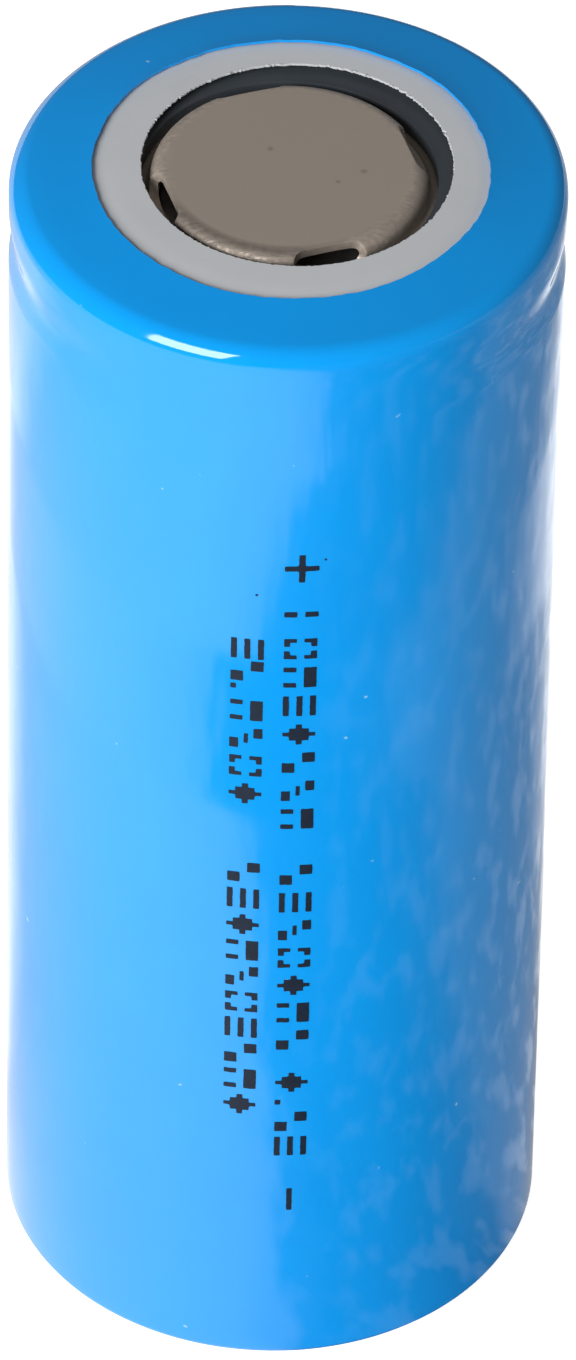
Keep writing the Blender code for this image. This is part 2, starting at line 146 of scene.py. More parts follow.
# Brightness of the sheet by compass bearing from the front, in degrees, left to right.
SHEET_LEVELS = ((-180, 0.30), (-133, 0.85), (-112, 0.58), (-78, 0.80), (-38, 0.95), (-12, 0.86),
                (-3, 0.62), (3, 0.13), (14, 0.06), (46, 0.04), (64, 0.10), (72, 0.24), (96, 0.21),
                (120, 0.20), (138, 0.42), (152, 0.75), (180, 0.30))
# How far, in degrees, the bright half reaches to the right at each distance from the cell.
SHEET_REACH = ((0.000, 5), (0.018, 5), (0.027, 4), (0.031, 1), (0.035, -3), (0.046, -6), (0.0508, -7),
               (0.0518, -14), (0.0528, -24), (0.0634, -24), (0.0646, -7), (0.0705, -1), (0.0745, 5),
               (0.0768, 8), (0.0780, 17), (0.0850, 16), (0.100, 15))
REACH_SPAN = 90.0
# Pale blotches: how many there are round the cell and outwards, and how bright they are.
PATCH_ROUND = 6.0
PATCH_OUT = 330.0
PATCH_LEVEL = 0.18
sheet = stage_plane("mirrored_sheet", SHEET_SIZE, SHEET_HEIGHT)
sheet.visible_camera = False
sheet.visible_diffuse = False
sheet.visible_shadow = False
sheet.visible_transmission = False
two_tone = new_material("two_tone_sheet")
tree = two_tone.node_tree
place = node(tree, "TexCoord").outputs["Object"]
axes = node(tree, "SeparateXYZ", {"Vector": place})
behind = node(tree, "Math", {0: axes.outputs["Y"], 1: -1.0}, operation="MULTIPLY")
bearing = node(tree, "Math", {0: axes.outputs["X"], 1: behind.outputs[0]}, operation="ARCTAN2")
away = node(tree, "VectorMath", {0: place}, operation="LENGTH").outputs["Value"]
far = node(tree, "Math", {0: away, 1: SHEET_REACH[-1][0]}, operation="DIVIDE")
reach = node(tree, "FloatCurve", {"Value": far.outputs[0]})
bends = reach.mapping.curves[0].points
while len(bends) < len(SHEET_REACH):
    bends.new(0.5, 0.5)
for bend, (distance, degrees) in zip(bends, SHEET_REACH):
    bend.location = (distance / SHEET_REACH[-1][0], 0.5 + degrees / REACH_SPAN)
    bend.handle_type = "VECTOR"
reach.mapping.update()
ragged = node(tree, "TexNoise", {"Vector": place, "Scale": 260.0, "Detail": 2.0})
frayed = node(tree, "MapRange", {"Value": ragged.outputs["Fac"], "From Min": 0.3, "From Max": 0.7,
                                 "To Min": 0.46, "To Max": 0.54})
pushed = node(tree, "Math", {0: reach.outputs[0], 1: frayed.outputs[0]}, operation="ADD")
shift = node(tree, "MapRange", {"Value": pushed.outputs[0], "From Min": 0.0, "From Max": 2.0,
                                "To Min": radians(REACH_SPAN), "To Max": radians(-REACH_SPAN)})
edge = node(tree, "Math", {0: bearing.outputs[0], 1: shift.outputs[0]}, operation="ADD")
bright = node(tree, "ValToRGB", {"Fac": node(tree, "MapRange", {
    "Value": edge.outputs[0], "From Min": -pi, "From Max": pi}).outputs[0]})
stops = bright.color_ramp.elements
for index, (degrees, level) in enumerate(SHEET_LEVELS):
    spot = 0.5 + degrees / 360.0
    stop = stops[0] if index == 0 else stops.new(spot)
    stop.position = spot
    stop.color = (level, level, level, 1.0)
stops.remove(stops[-1])
round_it = node(tree, "Math", {0: bearing.outputs[0], 1: PATCH_ROUND}, operation="MULTIPLY")
outwards = node(tree, "Math", {0: away, 1: PATCH_OUT}, operation="MULTIPLY")
patch_place = node(tree, "CombineXYZ", {"X": round_it.outputs[0], "Y": outwards.outputs[0]})
blotch = node(tree, "TexNoise", {"Vector": patch_place.outputs[0], "Scale": 1.0, "Detail": 3.0})
patches = node(tree, "MapRange", {"Value": blotch.outputs["Fac"], "From Min": 0.50, "From Max": 0.64,
                                  "To Max": PATCH_LEVEL})
dark_side = node(tree, "MapRange", {"Value": bearing.outputs[0], "From Min": radians(4.0),
                                    "From Max": radians(24.0)})
blotched = node(tree, "MixRGB", {"Fac": dark_side.outputs[0], "Color1": bright.outputs["Color"],
                                 "Color2": patches.outputs[0]}, blend_type="ADD")
glare = node(tree, "Emission", {"Color": blotched.outputs["Color"], "Strength": SHEET_BRIGHT})
node(tree, "OutputMaterial", {"Surface": glare.outputs[0]})
sheet.data.materials.append(two_tone)


def soft_box(name, size, azimuth, elevation, distance, watts, mirrored=True):
    """A square area light aimed at the cell, which the camera does not see."""
    data = bpy.data.lights.new(name, "AREA")
    data.shape = "SQUARE"
    data.size = size
    data.energy = watts
    made = bpy.data.objects.new(name, data)
    bpy.context.collection.objects.link(made)
    away = Vector((sin(azimuth) * cos(elevation), -cos(azimuth) * cos(elevation), sin(elevation)))
    centre = Vector((0.0, 0.0, CELL_TOP / 2))
    face = away.to_track_quat("Z", "Y").to_matrix().to_4x4()
    made.matrix_world = Matrix.Translation(centre + distance * away) @ face
    made.visible_camera = False
    made.visible_glossy = mirrored
    return made


soft_box("key_box", size=0.30, azimuth=radians(-38.0), elevation=radians(30.0), distance=0.60, watts=4.25)
soft_box("fill_box", size=0.60, azimuth=radians(70.0), elevation=radians(14.0), distance=1.0, watts=1.7,
         mirrored=False)

ROOM_LEVEL = 0.14
world = bpy.data.worlds.new("studio_room")
world.use_nodes = True
world.node_tree.nodes["Background"].inputs["Color"].default_value = (1.0, 1.0, 1.0, 1.0)
world.node_tree.nodes["Background"].inputs["Strength"].default_value = ROOM_LEVEL
bpy.context.scene.world = world

# ---------------------------------------------------------------- Shrink sleeve
# Blue PVC film, shrunk hot over the can, which is all that holds it. It laps onto the ring,
# dips a little over the can's bead at both sides, folds under the foot, and its cuts wander.
WALL = 0.00015
LIP_R = 0.00932
LIP_SHIFT = Vector((0.00010, -0.00010, 0.0))
FOOT_LIP_R = 0.0104
SHOULDER_ROUND = 0.0011
TOP_SLOPE = 0.146
HEEL_ROUND = 0.0005
BEAD_Z = CELL_TOP - 0.0053
BEAD_HALF = 0.0018
DIP_Z = CELL_TOP - 0.0040
DIP_HALF = 0.0016
DIP_DEPTH = 0.00026
SLEEVE_STEPS = 256
# Rings of points across the laps, measured from the cut edge, and at the ends of the wall.
LAP_RINGS = (0.0, 0.0001, 0.0004, 0.0008, 0.0014, 0.002)
LAP_RINGS_UNDER = (0.001, 0.0004, 0.0)
END_RING = 0.0008


def arc(centre_r, centre_z, radius, start, end, steps):
    """Points (r, z) round a fillet."""
    turns = [start + (end - start) * step / steps for step in range(steps + 1)]
    return [(centre_r + radius * cos(t), centre_z + radius * sin(t)) for t in turns]


def bead(z, middle, half):
    """Depth of a rolled bead at height z, as a share of its full depth."""
    wave = (z - middle) / half
    return 0.5 * (1.0 + cos(pi * wave)) if abs(wave) < 1.0 else 0.0


def beaded(radius, high, low, steps, depth):
    """Points (r, z) down a wall from high to low, drawn in by depth where the can's bead is."""
    heights = [high + (low - high) * step / steps for step in range(steps + 1)]
    return [(radius - depth * bead(z, BEAD_Z, BEAD_HALF), z) for z in heights]


def rim_centre(top, round_r):
    """Height of the centre of a rim's round, under a top face that slopes outwards."""
    edge_r = shoulder_r + round_r * cos(RIM_START)
    return top - TOP_SLOPE * (edge_r - LIP_R) - round_r * sin(RIM_START)


def turned(name, outline, steps, closed=True):
    """Draw an outline by extruding one vertex, then spin it about Z into a solid."""
    bpy.ops.mesh.primitive_plane_add(size=0.001)
    made = bpy.context.object
    made.name = name
    bpy.ops.object.mode_set(mode="EDIT")
    bpy.ops.mesh.select_mode(type="VERT")
    bpy.ops.mesh.select_all(action="SELECT")
    bpy.ops.mesh.merge(type="CENTER")
    bpy.ops.transform.translate(value=(outline[0][0], 0.0, outline[0][1]))
    for (r, z), (next_r, next_z) in zip(outline, outline[1:]):
        bpy.ops.mesh.extrude_region_move(TRANSFORM_OT_translate={"value": (next_r - r, 0.0, next_z - z)})
    bpy.ops.mesh.select_all(action="SELECT")
    if closed:
        bpy.ops.object.mode_set(mode="OBJECT")
        ends = [0, len(made.data.vertices) - 1]
        for vertex in made.data.vertices:
            vertex.select = vertex.index in ends
        bpy.ops.object.mode_set(mode="EDIT")
        bpy.ops.mesh.edge_face_add()
        bpy.ops.mesh.select_all(action="SELECT")
        # Closing a short outline also fills it, which would leave walls inside the solid.
        bpy.ops.mesh.delete(type="ONLY_FACE")
        bpy.ops.mesh.select_all(action="SELECT")
    bpy.ops.mesh.spin(steps=steps, angle=tau, center=(0.0, 0.0, 0.0), axis=(0.0, 0.0, 1.0))
    bpy.ops.mesh.select_all(action="SELECT")
    bpy.ops.mesh.remove_doubles(threshold=0.000002)
    bpy.ops.mesh.delete_loose()
    bpy.ops.mesh.select_all(action="SELECT")
    bpy.ops.mesh.normals_make_consistent(inside=False)
    bpy.ops.object.mode_set(mode="OBJECT")
    return made


def smooth(piece, angle):
    """Shade a piece smooth except over edges sharper than angle, and let go of it."""
    bpy.ops.object.select_all(action="DESELECT")
    piece.select_set(True)
    bpy.context.view_layer.objects.active = piece
    bpy.ops.object.shade_smooth_by_angle(angle=angle)
    bpy.ops.object.select_all(action="DESELECT")


shoulder_r = CELL_R - SHOULDER_ROUND
RIM_START = pi / 2 - atan(TOP_SLOPE)
rim_z = rim_centre(CELL_TOP, SHOULDER_ROUND)
heel_r = CELL_R - HEEL_ROUND
bead_top = BEAD_Z + BEAD_HALF
bead_foot = BEAD_Z - BEAD_HALF
inner_r = CELL_R - WALL
outline = [(LIP_R + out, CELL_TOP - TOP_SLOPE * out) for out in LAP_RINGS]
outline += arc(shoulder_r, rim_z, SHOULDER_ROUND, RIM_START, 0.0, 16)
outline += beaded(CELL_R, DIP_Z + DIP_HALF, DIP_Z - DIP_HALF, 24, 0.0)
outline += beaded(CELL_R, bead_foot - END_RING, HEEL_ROUND + END_RING, 28, 0.0)
outline += arc(heel_r, HEEL_ROUND, HEEL_ROUND, 0.0, -pi / 2, 8)
outline += [(FOOT_LIP_R + END_RING, 0.0), (FOOT_LIP_R, 0.0), (FOOT_LIP_R, WALL),
            (FOOT_LIP_R + END_RING, WALL)]
outline += arc(heel_r, HEEL_ROUND, HEEL_ROUND - WALL, -pi / 2, 0.0, 4)
outline += beaded(inner_r, DIP_Z - DIP_HALF, DIP_Z + DIP_HALF, 24, 0.0)
outline += arc(shoulder_r, rim_z, SHOULDER_ROUND - WALL, 0.0, RIM_START, 8)
outline += [(LIP_R + out, CELL_TOP - WALL - TOP_SLOPE * out) for out in LAP_RINGS_UNDER]
sleeve = turned("blue_shrink_sleeve", outline, SLEEVE_STEPS)

# The knife and the heat leave the lips uneven, the film is pulled tighter over the rim on
# one side than on the other, and it dips over the bead only at the two sides.
LIP_WANDER = 0.00009
LIP_BITE = 0.00006
LIP_CURL = 0.00006
RIM_SQUARE = 0.08
TIGHT_SIDE = radians(80.0)
# How far from its cut each lap still moves, how near an end of the cell counts as a lap, and
# how many waves the slow and the quick wander have.
LAP_LOOSE = 0.0016
FOOT_LOOSE = 0.0012
END_ZONE = 0.0005
SLOW_WAVES = 2.1
QUICK_WAVES = 19.0
for vertex in sleeve.data.vertices:
    spot = vertex.co
    r = hypot(spot.x, spot.y)
    heading = Vector((spot.x / r, spot.y / r, 0.0))
    bearing = atan2(spot.x, -spot.y)
    out, up = r - shoulder_r, spot.z - rim_z
    if out > 0.0 and up > 0.0:
        round_over = sin(2.0 * atan2(up, out)) ** 2
        lift = RIM_SQUARE * round_over * cos(bearing - TIGHT_SIDE)
        spot += heading * out * lift
        spot.z += up * lift
    spot -= heading * DIP_DEPTH * bead(spot.z, DIP_Z, DIP_HALF) * sin(bearing) ** 6
    top_lip = max(0.0, 1.0 - (r - LIP_R) / LAP_LOOSE) if spot.z > CELL_TOP - END_ZONE else 0.0
    foot_lip = max(0.0, 1.0 - (r - FOOT_LIP_R) / FOOT_LOOSE) if spot.z < END_ZONE else 0.0
    slow = noise.noise(heading * SLOW_WAVES + Vector((3.0, 1.0, 0.0)))
    quick = noise.noise(heading * QUICK_WAVES)
    spot += heading * (LIP_WANDER * slow + LIP_BITE * quick) * (top_lip + foot_lip)
    spot += LIP_SHIFT * top_lip
    spot.z += LIP_CURL * top_lip ** 4 * (0.5 - 0.5 * cos(bearing))
smooth(sleeve, radians(40.0))

FILM_BLUE = (0.0018, 0.335, 0.86, 1.0)
FILM_DEEP = (0.0015, 0.30, 0.80, 1.0)
DUST = (0.35, 0.62, 0.85, 1.0)
film = new_material("glossy_blue_film")
tree = film.node_tree
place = node(tree, "TexCoord").outputs["Object"]
cloud = node(tree, "TexNoise", {"Vector": place, "Scale": 140.0, "Detail": 3.0, "Roughness": 0.5})
tone = node(tree, "MixRGB", {"Fac": cloud.outputs["Fac"], "Color1": FILM_BLUE, "Color2": FILM_DEEP})
grit = node(tree, "TexNoise", {"Vector": place, "Scale": 1400.0, "Detail": 1.0})
speck = node(tree, "MapRange", {"Value": grit.outputs["Fac"], "From Min": 0.80, "From Max": 0.84})
dusted = node(tree, "MixRGB", {"Fac": speck.outputs[0], "Color1": tone.outputs[0], "Color2": DUST})
dulled = node(tree, "MapRange", {"Value": cloud.outputs["Fac"], "From Min": 0.3, "From Max": 0.7,
                                 "To Min": 0.035, "To Max": 0.075})
swell = node(tree, "TexNoise", {"Vector": place, "Scale": 170.0, "Detail": 2.0})
puckers = node(tree, "TexNoise", {"Vector": place, "Scale": 520.0, "Detail": 1.0})
waves = node(tree, "Bump", {"Height": swell.outputs["Fac"], "Strength": 0.3, "Distance": 0.00002})
skin = node(tree, "Bump", {"Height": puckers.outputs["Fac"], "Strength": 0.3, "Distance": 0.000012,
                           "Normal": waves.outputs["Normal"]})
body = node(tree, "BsdfPrincipled", {
    "Base Color": dusted.outputs[0], "Roughness": dulled.outputs[0], "IOR": 1.5,
    "Normal": skin.outputs["Normal"]})
node(tree, "OutputMaterial", {"Surface": body.outputs[0]})
sleeve.data.materials.append(film)
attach(sleeve, "cell")
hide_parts("shrink_sleeve")

# ---------------------------------------------------------------- Fibre ring
# Die-cut fibre washer on the crimp, held down by the film's lap; it keeps the cap from the
# can. The punch leaves its inner edge torn, with loose fibres at the far side.
ring_low, ring_high = (Vector(corner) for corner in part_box("top_insulator_ring"))
RING_R = (ring_high.x - ring_low.x) / 2
RING_T = 0.0001
RING_HOLE_R = 0.00731
HOLE_OFFSET = Vector((0.00038, 0.00042, 0.0))
RING_EDGE = 0.00002
RING_STEPS = 600
# Rings of points across the top face, measured from the hole. All that lies within the outer
# one moves with the hole when it is set off centre.
NEAR_HOLE = 0.0003
MOVED_BAND = 0.001
ring_top = ring_high.z
ring_fall = TOP_SLOPE * (RING_R - LIP_R)
ring_outline = [(RING_HOLE_R, ring_top - RING_T), (RING_HOLE_R, ring_top - RING_EDGE),
                (RING_HOLE_R + RING_EDGE, ring_top), (RING_HOLE_R + NEAR_HOLE, ring_top),
                (RING_HOLE_R + MOVED_BAND, ring_top), (LIP_R, ring_top), (RING_R, ring_top - ring_fall),
                (RING_R, ring_low.z), (LIP_R, ring_top - RING_T),
                (RING_HOLE_R + MOVED_BAND, ring_top - RING_T)]
ring = turned("white_fibre_ring", ring_outline, RING_STEPS)
TEAR = 0.00006
CHIP = 0.00018
CHIP_FROM = 0.30
TORN_BAND = 0.0002
COARSE_TEARS = 75.0
FINE_TEARS = 160.0
CHIP_WAVES = 33.0
for vertex in ring.data.vertices:
    spot = vertex.co
    r = hypot(spot.x, spot.y)
    heading = Vector((spot.x / r, spot.y / r, 0.0))
    edge_share = max(0.0, 1.0 - (r - RING_HOLE_R) / TORN_BAND)
    fray = noise.noise(heading * COARSE_TEARS) + 0.6 * noise.noise(heading * FINE_TEARS)
    chips = max(0.0, noise.noise(heading * CHIP_WAVES) - CHIP_FROM) * (0.4 + 0.6 * (heading.y > 0.0))
    spot += heading * (TEAR * fray + CHIP * chips) * edge_share
    spot += HOLE_OFFSET * max(0.0, min(1.0, (LIP_R - r) / (LIP_R - RING_HOLE_R - MOVED_BAND)))
smooth(ring, radians(35.0))

LINT_COUNT = 34
LINT_R = 0.0001
LINT_MIDDLE = radians(90.0)
LINT_SPREAD = radians(75.0)
chance = Random(7)
bpy.ops.object.select_all(action="DESELECT")
bits = []
for index in range(LINT_COUNT):
    turn = LINT_MIDDLE + LINT_SPREAD * chance.uniform(-1.0, 1.0)
    out_r = RING_HOLE_R + chance.uniform(-0.00002, 0.00003)
    bpy.ops.mesh.primitive_ico_sphere_add(subdivisions=1, radius=LINT_R * chance.uniform(0.5, 1.0))
    bit = bpy.context.object
    stretch = Matrix.Diagonal((chance.uniform(0.3, 0.6), chance.uniform(0.8, 1.9), 0.35, 1.0))
    spot = HOLE_OFFSET + Vector((out_r * cos(turn), out_r * sin(turn), ring_top))
    spin = Matrix.Rotation(chance.uniform(0.0, pi), 4, "Z")
    bit.data.transform(Matrix.Translation(spot) @ spin @ stretch)
    bits.append(bit)
for bit in bits:
    bit.select_set(True)
bpy.context.view_layer.objects.active = bits[0]
bpy.ops.object.join()
lint = bits[0]
lint.name = "ring_edge_lint"
smooth(lint, radians(60.0))

FIBRE_GREY = (0.610, 0.625, 0.640, 1.0)
FIBRE_DULL = (0.545, 0.565, 0.590, 1.0)
fibre = new_material("pressed_white_fibre")
tree = fibre.node_tree
place = node(tree, "TexCoord").outputs["Object"]
felt = node(tree, "TexNoise", {"Vector": place, "Scale": 260.0, "Detail": 5.0, "Roughness": 0.6})
tone = node(tree, "MixRGB", {"Fac": felt.outputs["Fac"], "Color1": FIBRE_GREY, "Color2": FIBRE_DULL})
strands = node(tree, "TexNoise", {"Vector": place, "Scale": 3800.0, "Detail": 4.0})
nap = node(tree, "Bump", {"Height": strands.outputs["Fac"], "Strength": 0.35, "Distance": 0.00001})
body = node(tree, "BsdfPrincipled", {"Base Color": tone.outputs[0], "Roughness": 0.62,
                                     "Normal": nap.outputs["Normal"]})
node(tree, "OutputMaterial", {"Surface": body.outputs[0]})
for piece in (ring, lint):
    piece.data.materials.append(fibre)
    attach(piece, "cell")
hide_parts("top_insulator_ring")

# ---------------------------------------------------------------- Can
# Deep-drawn steel can, nickel plated: the negative pole. Its wall is rolled into a bead under
# the header and its mouth is crimped over the gasket; four weld marks show on its bottom.
can_low, can_high = (Vector(corner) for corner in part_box("can"))
CAN_R = (can_high.x - can_low.x) / 2
CAN_WALL = 0.0003
CAN_FLOOR = 0.00035
CAN_BEAD_DEPTH = 0.0015
TERMINAL_R = 0.010
TERMINAL_STEP = 0.00013
TERMINAL_MIDDLE_R = 0.006
CRIMP_HOLE_R = 0.0086
CAN_HEEL = 0.00035
CAN_CORNER = 0.0004
CAN_STEPS = 160
crimp_round = CAN_R - shoulder_r
crimp_z = rim_centre(can_high.z, crimp_round)
foot = can_low.z + TERMINAL_STEP
floor_top = foot + CAN_FLOOR
inner = CAN_R - CAN_WALL
can_outline = [(CRIMP_HOLE_R, can_high.z), (LIP_R, can_high.z)]
can_outline += arc(shoulder_r, crimp_z, crimp_round, RIM_START, 0.0, 10)
can_outline += beaded(CAN_R, bead_top, bead_foot, 20, CAN_BEAD_DEPTH)
can_outline += arc(CAN_R - CAN_HEEL, foot + CAN_HEEL, CAN_HEEL, 0.0, -pi / 2, 6)
can_outline += [(TERMINAL_R + TERMINAL_STEP, foot), (TERMINAL_R, can_low.z), (TERMINAL_MIDDLE_R, can_low.z),
                (0.0, can_low.z), (0.0, floor_top - TERMINAL_STEP), (TERMINAL_R, floor_top - TERMINAL_STEP),
                (TERMINAL_R + TERMINAL_STEP, floor_top)]
can_outline += arc(inner - CAN_CORNER, floor_top + CAN_CORNER, CAN_CORNER, -pi / 2, 0.0, 4)
can_outline += beaded(inner, bead_foot, bead_top, 20, CAN_BEAD_DEPTH)
can_outline += arc(shoulder_r, crimp_z, crimp_round - CAN_WALL, 0.0, RIM_START, 10)
can_outline += [(LIP_R, can_high.z - CAN_WALL), (CRIMP_HOLE_R, can_high.z - CAN_WALL)]
can_shell = turned("nickel_plated_can", can_outline, CAN_STEPS)


def subtract(piece, cutters):
    """Cut each cutter out of a piece, and remove the cutters."""
    bpy.ops.object.select_all(action="DESELECT")
    bpy.context.view_layer.objects.active = piece
    for cutter in cutters:
        step = piece.modifiers.new("cut", "BOOLEAN")
        step.operation = "DIFFERENCE"
        step.object = cutter
        bpy.ops.object.modifier_apply(modifier=step.name)
        bpy.data.objects.remove(cutter)


WELD_R = 0.0016
WELD_DEPTH = 0.00005
WELD_SPREAD = 0.0014
welds = []
for side_x, side_y in ((-1, -1), (1, -1), (-1, 1), (1, 1)):
    centre = (side_x * WELD_SPREAD, side_y * WELD_SPREAD, can_low.z - WELD_R + WELD_DEPTH)
    bpy.ops.mesh.primitive_uv_sphere_add(segments=32, ring_count=24, radius=WELD_R)
    bpy.context.object.data.transform(Matrix.Translation(centre))
    welds.append(bpy.context.object)
subtract(can_shell, welds)
smooth(can_shell, radians(30.0))


def worn_metal(name, colour, dull, roughness, spread, scratch, pits=0.0):
    """Plated metal: cloudy colour, uneven gloss, fine scratches two ways, and a few pits."""
    made = new_material(name)
    tree = made.node_tree
    place = node(tree, "TexCoord").outputs["Object"]
    cloud = node(tree, "TexNoise", {"Vector": place, "Scale": 420.0, "Detail": 4.0, "Roughness": 0.55})
    tone = node(tree, "MixRGB", {"Fac": cloud.outputs["Fac"], "Color1": (*colour, 1.0),
                                 "Color2": (*dull, 1.0)})
    lines = []
    for angle, length in ((0.5, 90.0), (2.1, 140.0)):
        laid = node(tree, "Mapping", {"Vector": place, "Rotation": (0.0, 0.0, angle),
                                      "Scale": (length, 5200.0, 900.0)})
        lines.append(node(tree, "TexNoise", {"Vector": laid.outputs[0], "Scale": 1.0, "Detail": 2.0}))
    crossed = node(tree, "Math", {0: lines[0].outputs["Fac"], 1: lines[1].outputs["Fac"]},
                   operation="MAXIMUM")
    spots = node(tree, "TexNoise", {"Vector": place, "Scale": 900.0, "Detail": 1.0})
    pitted = node(tree, "MapRange", {"Value": spots.outputs["Fac"], "From Min": 0.72, "From Max": 0.80,
                                     "To Max": pits})
    stained = node(tree, "MixRGB", {"Fac": pitted.outputs[0], "Color1": tone.outputs[0],
                                    "Color2": (0.05, 0.045, 0.04, 1.0)})
    gloss = node(tree, "MapRange", {"Value": cloud.outputs["Fac"], "From Min": 0.3, "From Max": 0.7,
                                    "To Min": roughness - spread, "To Max": roughness + spread})
    grain = node(tree, "Bump", {"Height": crossed.outputs[0], "Strength": scratch, "Distance": 0.00001})
    body = node(tree, "BsdfPrincipled", {"Base Color": stained.outputs[0], "Metallic": 1.0,
                                         "Roughness": gloss.outputs[0], "Normal": grain.outputs["Normal"]})
    node(tree, "OutputMaterial", {"Surface": body.outputs[0]})
    return made


def finish_piece(piece, look, slot_name, *nodes):
    """Give a piece its material and its place on the cell, and hide the nodes it stands for; slot_name is
    not used.
    """
    piece.data.materials.append(look)
    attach(piece, "cell")
    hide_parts(*nodes)


nickel = worn_metal("bright_nickel_plate", (0.60, 0.575, 0.54), (0.50, 0.475, 0.44), 0.30, 0.08, 0.25, 0.5)
finish_piece(can_shell, nickel, "nickel_plated_steel", "can")

# ---------------------------------------------------------------- Gasket
# Moulded polypropylene grommet: a channel that grips the cap, the disc and the plate all
# the way round. Only the edge of its upper lip shows, as the dark wall round the cap.
gasket_low, gasket_high = (Vector(corner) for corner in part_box("header_gasket"))
cap_low, cap_high = (Vector(corner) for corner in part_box("top_cap"))
plate_low = Vector(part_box("weld_plate")[0])
HEADER_R = (cap_high.x - cap_low.x) / 2
CAP_T = 0.0004
CLEARANCE = 0.00003
GRIP_GAP = 0.00005
GASKET_R = (gasket_high.x - gasket_low.x) / 2
GASKET_LIP_R = 0.0070
GASKET_FOOT_R = 0.0096
GASKET_TAPER = (0.0007, 0.0009)
FOOT_BEVEL = 0.0001
LIP_BEVEL = 0.00005
LIP_TOP_BEVEL = 0.00012
LIP_TOP_BREAK = 0.00004
flange_z = cap_low.z + CAP_T
lip_round = GASKET_R - shoulder_r
grip_r = HEADER_R + GRIP_GAP
lip_foot = flange_z + CLEARANCE
seat_z = plate_low.z - CLEARANCE
gasket_outline = [(GASKET_LIP_R + LIP_TOP_BEVEL, gasket_high.z), (LIP_R, gasket_high.z)]
gasket_outline += arc(shoulder_r, crimp_z, lip_round, RIM_START, 0.0, 8)
gasket_outline += [(GASKET_R, gasket_low.z + GASKET_TAPER[1]), (GASKET_R - GASKET_TAPER[0], gasket_low.z),
                   (GASKET_FOOT_R + FOOT_BEVEL, gasket_low.z), (GASKET_FOOT_R, gasket_low.z + FOOT_BEVEL),
                   (GASKET_FOOT_R, seat_z), (grip_r, seat_z), (grip_r, lip_foot),
                   (GASKET_LIP_R + LIP_BEVEL, lip_foot), (GASKET_LIP_R, lip_foot + LIP_BEVEL),
                   (GASKET_LIP_R, gasket_high.z - LIP_TOP_BEVEL),
                   (GASKET_LIP_R + LIP_TOP_BREAK, gasket_high.z - LIP_TOP_BREAK)]
gasket = turned("moulded_gasket", gasket_outline, CAN_STEPS)
smooth(gasket, radians(35.0))


def moulded(name, colour, pale, roughness, grain):
    """Moulded or cast plastic: a faint cloud in its colour and a fine grain in its skin."""
    made = new_material(name)
    tree = made.node_tree
    place = node(tree, "TexCoord").outputs["Object"]
    cloud = node(tree, "TexNoise", {"Vector": place, "Scale": 600.0, "Detail": 3.0})
    tone = node(tree, "MixRGB", {"Fac": cloud.outputs["Fac"], "Color1": (*colour, 1.0),
                                 "Color2": (*pale, 1.0)})
    specks = node(tree, "TexNoise", {"Vector": place, "Scale": 5200.0, "Detail": 3.0})
    skin = node(tree, "Bump", {"Height": specks.outputs["Fac"], "Strength": grain, "Distance": 0.00001})
    body = node(tree, "BsdfPrincipled", {"Base Color": tone.outputs[0], "Roughness": roughness,
                                         "Normal": skin.outputs["Normal"]})
    node(tree, "OutputMaterial", {"Surface": body.outputs[0]})
    return made


black_plastic = moulded("slate_polypropylene", (0.030, 0.038, 0.046), (0.045, 0.053, 0.062), 0.5, 0.3)
finish_piece(gasket, black_plastic, "black_polypropylene", "header_gasket")

# ---------------------------------------------------------------- Positive cap
# Pressed steel hat with a dull nickel plate, gripped by the gasket. Four notches cut through
# its shoulder let gas out; the shoulder is scratched, its front-left is darkened with painted shade,
# and the flat has three faint marks.
CAP_FLAT_R = 0.00574
CAP_SHOULDER = 0.00078
CAP_FOOT_ROUND = 0.0003
CAP_STEPS = 192
FLAT_RINGS = (0.0, 0.002, 0.004, 0.0054)
wall_r = CAP_FLAT_R + CAP_SHOULDER
wall_in_r = wall_r - CAP_T
inside_round = CAP_SHOULDER - CAP_T
cap_outline = [(r, cap_high.z) for r in FLAT_RINGS]
cap_outline += arc(CAP_FLAT_R, cap_high.z - CAP_SHOULDER, CAP_SHOULDER, pi / 2, 0.0, 14)
cap_outline += arc(wall_r + CAP_FOOT_ROUND, flange_z + CAP_FOOT_ROUND, CAP_FOOT_ROUND, pi, 3 * pi / 2, 5)
cap_outline += [(HEADER_R, flange_z), (HEADER_R, cap_low.z), (wall_in_r, cap_low.z)]
cap_outline += arc(wall_in_r - inside_round, cap_high.z - CAP_T - inside_round, inside_round, 0.0, pi / 2, 4)
cap_outline += [(0.0, cap_high.z - CAP_T)]
cap = turned("positive_cap", cap_outline, CAP_STEPS, closed=False)

WINDOWS = 4
WINDOW_W = 0.0036
WINDOW_CHORD_R = 0.0058
WINDOW_REACH_R = 0.0076
WINDOW_TURN = radians(18.6)
WINDOW_CORNER = 0.0006
WINDOW_SILL = 0.0001
windows = []
for index in range(WINDOWS):
    bpy.ops.mesh.primitive_cube_add(size=1.0)
    window = bpy.context.object
    depth = WINDOW_REACH_R - WINDOW_CHORD_R
    height = cap_high.z - flange_z + CAP_T
    size = Matrix.Diagonal((depth, WINDOW_W, height, 1.0))
    middle = Vector((WINDOW_CHORD_R + depth / 2, 0.0, flange_z + WINDOW_SILL + height / 2))
    window.data.transform(Matrix.Translation(middle) @ size)
    for corner in window.data.edges:
        ends = [window.data.vertices[i].co for i in corner.vertices]
        corner.select = abs(ends[0].z - ends[1].z) > height / 2
    bpy.ops.object.mode_set(mode="EDIT")
    bpy.ops.mesh.select_mode(type="EDGE")
    bpy.ops.mesh.bevel(offset=WINDOW_CORNER, segments=5)
    bpy.ops.object.mode_set(mode="OBJECT")
    window.data.transform(Matrix.Rotation(WINDOW_TURN + tau * index / WINDOWS, 4, "Z"))
    windows.append(window)
subtract(cap, windows)
CAP_BURR = 0.00004
bpy.context.view_layer.objects.active = cap
burr = cap.modifiers.new("burr", "BEVEL")
burr.width = CAP_BURR
burr.segments = 2
